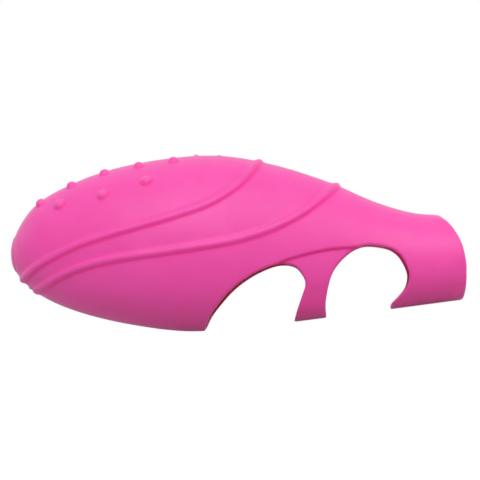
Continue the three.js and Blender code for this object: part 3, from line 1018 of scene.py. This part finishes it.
def board_parts():
    """The board with its bare edge, pads, tracks and plated holes, and a contact ring in front."""
    front, back = BOARD_X
    notch = half_angle(1, BOARD_R)
    disc = [(1, -5.2, 0.15), (-1, -5.2, 0.15), *arc(BOARD_R, 180 + notch, 540 - notch)]
    parts = [prism(rounded(disc, steps=3), front, back, 0.04, rim=1)]
    pads = [
        (-35, 4.9, 0.45), (35, 4.9, 0.45), (75, 4.6, 0.6), (105, 4.6, 0.6),
        (150, 4.5, 0.5), (210, 4.5, 0.5), (255, 4.6, 0.6), (285, 4.6, 0.6),
    ]
    for angle, r, size in pads:
        y, z = on_circle(r, angle)
        pad = [
            (back, 0.16, 0.01), (back, size), (back + 0.04, size, 0.03), (back + 0.04, 0.16, 0.03),
        ]
        parts.append(lathe(pad, angles=32, paint=2, place=Matrix.Translation((0, y, z))))
        end = (math.copysign(2.6, y), math.copysign(1.4, z))
        track = [(back + 0.01, *point) for point in ((y, z), (0.72 * y, 0.86 * z), end)]
        parts.append(swept(track, 0.08, 8, paint=3))
    face = front - 0.04
    contacts = [
        [(face, 0), (face, 2.1, 0.03), (front, 2.1), (front, 0)],
        [(face, 4.6, 0.03), (face, 5.5, 0.03), (front, 5.5), (front, 4.6)],
    ]
    return parts + [lathe(contact, paint=2) for contact in contacts]


def chip_parts():
    """A six-legged chip with a dot at its first leg. A leg has a foot, a riser and a shoulder."""
    leg = [
        ((41, 41.12), (1.75, 2.1)), ((41.02, 41.75), (1.62, 1.76)), ((41.63, 41.76), (1.4, 1.76)),
    ]
    parts = [box((41.15, 42.2), (-1.5, 1.5), (3, 4.9), 0.14)]
    for side in (-1, 1):
        for z in (3.35, 3.95, 4.55):
            for x, y in leg:
                parts.append(box(x, sorted(side * v for v in y), (z - 0.13, z + 0.13), 0.03, 1))
    dot = [(42.16, 0), (42.16, 0.18), (42.215, 0.16), (42.215, 0)]
    parts.append(turned(dot, 20, paint=1, place=Matrix.Translation((0, -1.1, 3.4))))
    return parts


def motor_can():
    profile = rounded([
        (7.6, 1.55, 0.05), (7.6, 3.5, 0.45), (16.2, 3.5), (16.4, 3.5), (16.7, 3.5), (17, 3.5, 0.08),
        (17, 3.25, 0.05), (16.7, 3.25), (16.4, 3.25), (16.2, 3.25), (8.1, 3.25, 0.2),
        (8.1, 1.55, 0.05),
    ], steps=5)

    def crimped(x, r, angle):
        dent = smoothstep(9, 3, angle_off(angle, 30, 60)) * smoothstep(16.2, 16.5, x)
        return x, r - 0.1 * dent * (r > 3)

    return turned(profile, 120, crimped)


def end_bell_parts():
    moulded = lathe([
        (17.15, 0), (17.15, 3.15, 0.1), (17.55, 3.15, 0.05), (17.55, 3.4, 0.1), (18.1, 3.4, 0.15),
        (18.1, 2.95, 0.05), (18.4, 2.8, 0.1), (18.4, 1.2, 0.1), (18.15, 1.05, 0.05), (18.15, 0),
    ])
    tabs = [box((18.3, 18.95), (-0.6, 0.6), (z - 0.12, z + 0.12), 0.04, 1) for z in (-2, 2)]
    return [moulded, *tabs]


def winding(pole, layer, turns):
    """A layer of wire round a pole's neck, which climbs from the hub to the shoe."""
    turn = Matrix.Rotation(-math.radians(pole), 4, "X")
    long, wide = 2.42 + 0.15 * layer, 0.6 + 0.15 * layer
    path = []
    for t in np.linspace(0, turns, turns * 28 + 1):
        c, s = math.cos(2 * math.pi * t), math.sin(2 * math.pi * t)
        x = 12.05 + long * math.copysign(abs(c) ** 0.35, c)
        y = wide * math.copysign(abs(s) ** 0.8, s)
        path.append(turn @ Vector((x, y, 1.1 + 0.13 * (t + 0.5 * layer))))
    return swept(path, 0.062, 6, paint=1)


def armature_parts():
    """Three laminated poles, each with its winding, and the commutator behind them."""
    shoe, hub = half_angle(NECK_HALF, SHOE_IN), half_angle(NECK_HALF, HUB_R)
    section = []
    for pole in POLES:
        section += arc(POLE_R, pole - 50, pole + 50)
        section.append(on_circle(SHOE_IN, pole + shoe))
        section += arc(HUB_R, pole + hub, pole + 120 - hub)
        section.append(on_circle(SHOE_IN, pole + 120 - shoe))
    starts = [9.9 + LAMINATION_PITCH * i for i in range(LAMINATIONS)]
    parts = [prism(section, x, x + LAMINATION, 0.03) for x in starts]
    parts += [winding(pole, *layer) for pole in POLES for layer in ((0, 6), (1, 5))]

    def slit(x, r, angle):
        return x, r - 0.12 * (angle_off(angle, 60, 120) < 4.1) * (r > 0.8)

    angles = even_angles(72, 56, 64, 176, 184, 296, 304)
    parts.append(turned(ring_profile(14.7, 15.4, 0.5, 0.95, 0, 0.04), angles, slit, paint=1))
    return parts


def weight_parts():
    chord = math.degrees(math.acos(0.9 / 3.6))
    sector = [*arc(3.6, chord, 360 - chord), (-0.9, 0.9), (0.9, 0.9)]
    collar = lathe([(3.3, 0.5), (3.3, 0.85, 0.1), (3.6, 0.85), (3.6, 0.5)])
    return [prism(sector, 3.4, 6.9, 0.18), collar]


def motor_holder():
    half = half_angle(1.2, 5.75)

    def slotted(x, r, angle):
        off = angle_off(angle, 0)
        return x, 5.65 / math.cos(math.radians(off)) if off < half and r > 5.8 else r

    angles = even_angles(96, half - 0.01, half + 0.4, -half + 0.01, -half - 0.4)
    return turned(ring_profile(9.8, 18.4, 3.7, 6.35, 0.15, 0.2), angles, slotted)


def negative_plate():
    return lathe([
        (19.2, 0), (19.2, 3.4), (19.3, 3.6, 0.1), (19.3, 4.9, 0.1), (19.2, 5.05), (19.2, 5.5, 0.08),
        (19.55, 5.5, 0.08), (19.55, 5.05, 0.1), (19.64, 4.95, 0.1), (19.64, 4.65, 0.1),
        (19.55, 4.55, 0.1), (19.55, 1.0, 0.1), (19.45, 0.8, 0.1), (19.45, 0),
    ])


def spring_wire():
    path = []
    for t in np.linspace(0, 1, 181):
        y, z = on_circle(4.2 - 1.8 * t, 90 - 360 * 2.5 * t)
        path.append((19.79 + 1.96 * smoothstep(0.06, 0.96, t), y, z))
    return swept(path, 0.22, 14)


def battery_tube():
    outer, inner = half_angle(1.2, 6.5), half_angle(1.2, CELL_R + 0.15)
    split = [*arc(6.5, outer, 360 - outer), *arc(CELL_R + 0.15, 360 - inner, inner)]
    return prism(split, 20, 35.7, 0.1)


def contact_strip():
    side = rounded([
        (18.95, 5.2), (19.17, 5.2), (19.17, 6.06, 0.12), (35.6, 6.06), (35.6, 6.28),
        (18.95, 6.28, 0.3),
    ])
    across = Matrix(((0, 1, 0, 0), (1, 0, 0, 0), (0, 0, 1, 0), (0, 0, 0, 1)))
    return prism(side, -0.9, 0.9, 0.05, place=across)


def button_cell(start):
    """A button cell: cap, gasket and crimped can."""
    end = start + CELL_LENGTH
    profile = rounded([
        (start, 0), (start, 4.7, 0.25), (start + 0.55, 4.7, 0.05), (start + 0.45, 4.95, 0.1),
        (start + 0.55, 5.15, 0.05), (start + 0.42, 5.25, 0.1), (start + 0.5, 5.75, 0.3),
        (end - 0.12, CELL_R, 0.35), (end - 0.12, 4.9, 0.1), (end, 4.7, 0.1), (end, 0),
    ], steps=5)
    return turned(profile, paint=lambda x, r: int(x < start + 0.6 and 4.72 < r < 5.16))


def contact_rivet():
    return lathe([
        (39.25, 0), (39.28, 0.5, 0.3), (39.45, 1.0, 0.3), (39.62, 1.35, 0.1), (39.64, 1.7, 0.05),
        (39.85, 1.7, 0.05), (39.85, 0),
    ], angles=48)


def make_capsule():
    shaft = [(3.1, 0), (3.1, 0.5, 0.12), (16.6, 0.5, 0.12), (16.6, 0)]
    stem = [(42.9, 0), (42.9, 1.0, 0.05), (44.2, 1.0, 0.2), (44.2, 0)]
    bushing = turned(ring_profile(7.2, 8.8, 0.65, 1.4, 0.1, 0.1), 48)
    magnet = turned(ring_profile(9.4, 15.2, 2.6, 3.1, 0.12, 0.12))
    rows = [
        ("capsule_shell", "capsule", "shell_plastic", "shell", [capsule_shell()]),
        ("end_cap", "cap", "shell_plastic", "shell", [end_cap()]),
        ("cap_seal", "cap", "seal_rubber", "rubber", [seal_ring()]),
        ("push_button", "button", "button_silicone", "button", [button()]),
        ("switch_stem", "stem", "black_plastic", "black", [lathe(stem, angles=48)]),
        ("switch_body", "cap", "black_plastic", "black steel", switch_parts()),
        ("circuit_board", "cap", "board", "board edge gold track", board_parts()),
        ("driver_chip", "cap", "black_plastic", "black steel", chip_parts()),
        ("positive_contact", "cap", "brass", "brass", [contact_rivet()]),
        ("motor_can", "capsule", "steel", "steel", [motor_can()]),
        ("motor_bushing", "capsule", "brass", "bronze", [bushing]),
        ("motor_magnet", "capsule", "magnet", "ferrite", [magnet]),
        ("motor_end_bell", "capsule", "frame_plastic", "frame brass", end_bell_parts()),
        ("motor_shaft", "rotor", "steel", "steel", [lathe(shaft, angles=32)]),
        ("motor_armature", "rotor", "copper", "lamination copper", armature_parts()),
        ("eccentric_weight", "rotor", "tungsten", "tungsten", weight_parts()),
        ("motor_holder", "capsule", "frame_plastic", "frame", [motor_holder()]),
        ("negative_contact", "capsule", "brass", "brass", [negative_plate()]),
        ("battery_spring", "capsule", "brass", "brass", [spring_wire()]),
        ("battery_tube", "capsule", "frame_plastic", "frame", [battery_tube()]),
        ("contact_strip", "capsule", "brass", "brass", [contact_strip()]),
    ]
    for i in range(3):
        cell = [button_cell(CELL_FIRST + i * CELL_PITCH)]
        rows.append((f"button_cell_{i + 1}", "capsule", "steel", "nickel gasket", cell))
    looks = capsule_materials()
    for node, body, slot_name, names, parts in rows:
        make_piece(node, body, [looks[name] for name in names.split()], parts)


# ---------------- capsule materials

def plastic(name, colour, worn, roughness, scatter=0.0):
    """Moulded plastic with flow clouding, a fine eroded texture and rubbed patches."""
    n = Nodes(bpy.data.materials.new(name))
    fine = n.bump(n.noise(6000, 2), 0.000008, 0.5)
    return n.shade(
        Base_Color=n.ramp(n.noise(160, 4), (0.3, srgb(*worn)), (0.7, srgb(*colour))),
        Roughness=n.span(n.noise(420, 5), roughness - 0.06, roughness + 0.08, 0.3, 0.7),
        Normal=n.bump(n.noise(1300, 3), 0.00002, 0.4, Normal=fine),
        Subsurface_Weight=scatter,
        Subsurface_Radius=(1.0, 0.8, 0.7),
        Subsurface_Scale=0.0012,
    )


def metal(name, bright, dull, roughness, grain=(1, 1, 1), lines=0.3):
    """Metal with drawn or turned lines along the short grain axes, and cloudy tarnish."""
    n = Nodes(bpy.data.materials.new(name))
    stretched = n.add("ShaderNodeMapping", Scale=grain, Vector=n.coordinates).outputs["Vector"]
    streaks = n.noise(3200, 2, 0.5, stretched)
    tarnish = n.ramp(n.noise(380, 5), (0.42, BLACK), (0.72, WHITE))
    return n.shade(
        Base_Color=n.mix(tarnish, srgb(*bright), srgb(*dull)),
        Metallic=1.0,
        Roughness=n.span(streaks, roughness - 0.1, roughness + 0.1, 0.3, 0.7),
        Normal=n.bump(streaks, 0.00001, lines),
    )


def capsule_materials():
    pink = silicone("button_pink_silicone", srgb(246, 128, 190), srgb(240, 116, 182))
    return {
        "shell": plastic("shell_white_plastic", (240, 238, 236), (228, 226, 222), 0.3, 0.1),
        "button": pink,
        "rubber": plastic("seal_rubber", (40, 40, 43), (28, 28, 30), 0.62),
        "frame": plastic("frame_nylon", (222, 220, 210), (204, 201, 190), 0.45, 0.08),
        "black": plastic("black_resin", (38, 38, 42), (25, 25, 28), 0.42),
        "gasket": plastic("gasket_nylon", (70, 72, 82), (52, 54, 62), 0.5),
        "board": plastic("solder_mask", (26, 112, 66), (17, 88, 50), 0.32),
        "edge": plastic("glass_fibre_edge", (186, 176, 128), (160, 150, 104), 0.6),
        "ferrite": plastic("ferrite", (66, 64, 68), (47, 46, 50), 0.6),
        "steel": metal("turned_steel", (198, 200, 203), (160, 162, 166), 0.3, (0.05, 1, 1)),
        "nickel": metal("nickel_plate", (214, 212, 206), (184, 182, 176), 0.22, (1, 1, 0.1), 0.15),
        "brass": metal("spring_brass", (214, 176, 96), (172, 130, 62), 0.3, (0.1, 1, 1)),
        "bronze": metal("sintered_bronze", (186, 132, 78), (140, 94, 52), 0.5, lines=0.6),
        "gold": metal("gold_pad", (236, 198, 104), (214, 170, 80), 0.25, lines=0.1),
        "track": metal("masked_track", (40, 128, 78), (30, 104, 62), 0.35, lines=0.1),
        "copper": metal("enamelled_copper", (198, 108, 58), (150, 70, 34), 0.32, (0.2, 1, 1)),
        "lamination": metal("core_lamination", (120, 122, 128), (84, 84, 90), 0.45, (1, 0.2, 0.2)),
        "tungsten": metal("sintered_tungsten", (134, 135, 140), (100, 100, 106), 0.5, lines=0.7),
    }


# ---------------- stage

def stage_material(name, seen, bounced, glow):
    """Pale paper: bright where the camera sees it, and duller in the light that it sends back."""
    n = Nodes(bpy.data.materials.new(name))
    seen_only = n.add("ShaderNodeLightPath").outputs["Is Camera Ray"]
    grain = n.ramp(n.noise(60, 3), (0.3, tuple(v * 0.985 for v in seen)), (0.7, seen))
    split = n.add("ShaderNodeSeparateXYZ", Vector=n.coordinates)
    near = n.span(split.outputs["Y"], 0, 1, -0.16, -0.05)
    bounced = n.mix(near, tuple(v * 0.35 for v in bounced), bounced)
    return n.shade(
        Base_Color=n.mix(seen_only, bounced, grain),
        Roughness=0.9,
        Specular_IOR_Level=0.0,
        Emission_Color=n.mix(seen_only, BLACK, (glow,) * 3),
        Emission_Strength=1.0,
    )


FLOOR_GAP = 0.0015
FLOOR_HALF = 6


def make_floor():
    bm = bmesh.new()
    bmesh.ops.create_grid(bm, x_segments=8, y_segments=8, size=FLOOR_HALF)
    mesh = bpy.data.meshes.new("floor")
    bm.to_mesh(mesh)
    bm.free()
    mesh.materials.append(stage_material("pale_paper", (0.95,) * 3, (0.54,) * 3, 0.5))
    made = add_object("floor", mesh)
    made.location.z = CAD_BOX[0][2] - FLOOR_GAP


ROOM_FRONT = 0.08  # brightness of the studio behind the camera and behind the object
ROOM_BACK = 0.76
ROOM_TURN = (-0.75, 0.35)  # part of the way from front to back in which it changes
ROOM_LEAN = 0.2  # how far the bright side turns towards the object's right


def make_world():
    """A studio that is bright behind the object, dark behind the camera and white to look at."""
    n = Nodes(bpy.data.worlds.new("studio"), "Background", "Generated")
    split = n.add("ShaderNodeSeparateXYZ", Vector=n.coordinates)
    back = n.math("MULTIPLY_ADD", split.outputs["X"], ROOM_LEAN, split.outputs["Y"])
    room = n.span(back, ROOM_FRONT, ROOM_BACK, *ROOM_TURN, kind="SMOOTHSTEP")
    seen = n.add("ShaderNodeLightPath").outputs["Is Camera Ray"]
    bpy.context.scene.world = n.shade(Color=WHITE, Strength=n.span(seen, room, 1.0))


def daylight(name, elevation, azimuth, strength, spread):
    """A soft light from far away. Azimuth 0 is the camera's side, and positive is to its right."""
    light = bpy.data.lights.new(name, "SUN")
    light.energy = strength
    light.angle = math.radians(spread)
    e, a = math.radians(elevation), math.radians(azimuth)
    made = add_object(name, light)
    made.location = (math.sin(a) * math.cos(e), -math.cos(a) * math.cos(e), math.sin(e))
    made.rotation_euler = (-made.location).to_track_quat("-Z", "Y").to_euler()


CAMERA_PLACE = Vector((-0.039, -0.700, -0.0113))
CAMERA_TARGET = Vector((-0.0543, 0, 0.0108))
CAMERA_ROLL = math.radians(7.5)
VIEW_WIDTH = 0.1176  # at the target
SENSOR = 36


def make_camera():
    """A long lens at the loops' height, turned a little about its own axis."""
    back = (CAMERA_PLACE - CAMERA_TARGET).normalized()
    right = Vector((math.sin(CAMERA_ROLL), 0, math.cos(CAMERA_ROLL))).cross(back).normalized()
    data = bpy.data.cameras.new("camera")
    data.sensor_width = SENSOR
    data.lens = SENSOR * (CAMERA_TARGET - CAMERA_PLACE).length / VIEW_WIDTH
    data.clip_start, data.clip_end = 0.01, 50
    camera = add_object("camera", data)
    axes = Matrix((right, back.cross(right), back)).transposed().to_4x4()
    camera.matrix_world = Matrix.Translation(CAMERA_PLACE) @ axes
    bpy.context.scene.camera = camera


# ---------------- scene

make_camera()
make_world()
make_floor()
daylight("key", elevation=37, azimuth=8, strength=2.43, spread=45)
daylight("left", elevation=10, azimuth=-80, strength=0.22, spread=60)
bpy.context.scene.view_settings.view_transform = "Standard"
bpy.context.scene.view_settings.look = "None"

# The pink, its darker random tone, and the deeper pink of the painted crease shade.
pinks_with_fold_shade = srgb(250, 82, 178), srgb(247, 78, 173), srgb(255, 25, 150)
sleeve = make_sleeve()
sleeve.data.materials.append(silicone("pink_silicone", *pinks_with_fold_shade))
# A copy without sheen, for the faces under the painted wall shade, so that they look shaded.
sleeve.data.materials.append(silicone("pink_silicone_shaded_wall", *pinks_with_fold_shade, sheen=0.0))
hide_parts("sleeve_front", "sleeve_rear")
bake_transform(sleeve)

make_capsule()
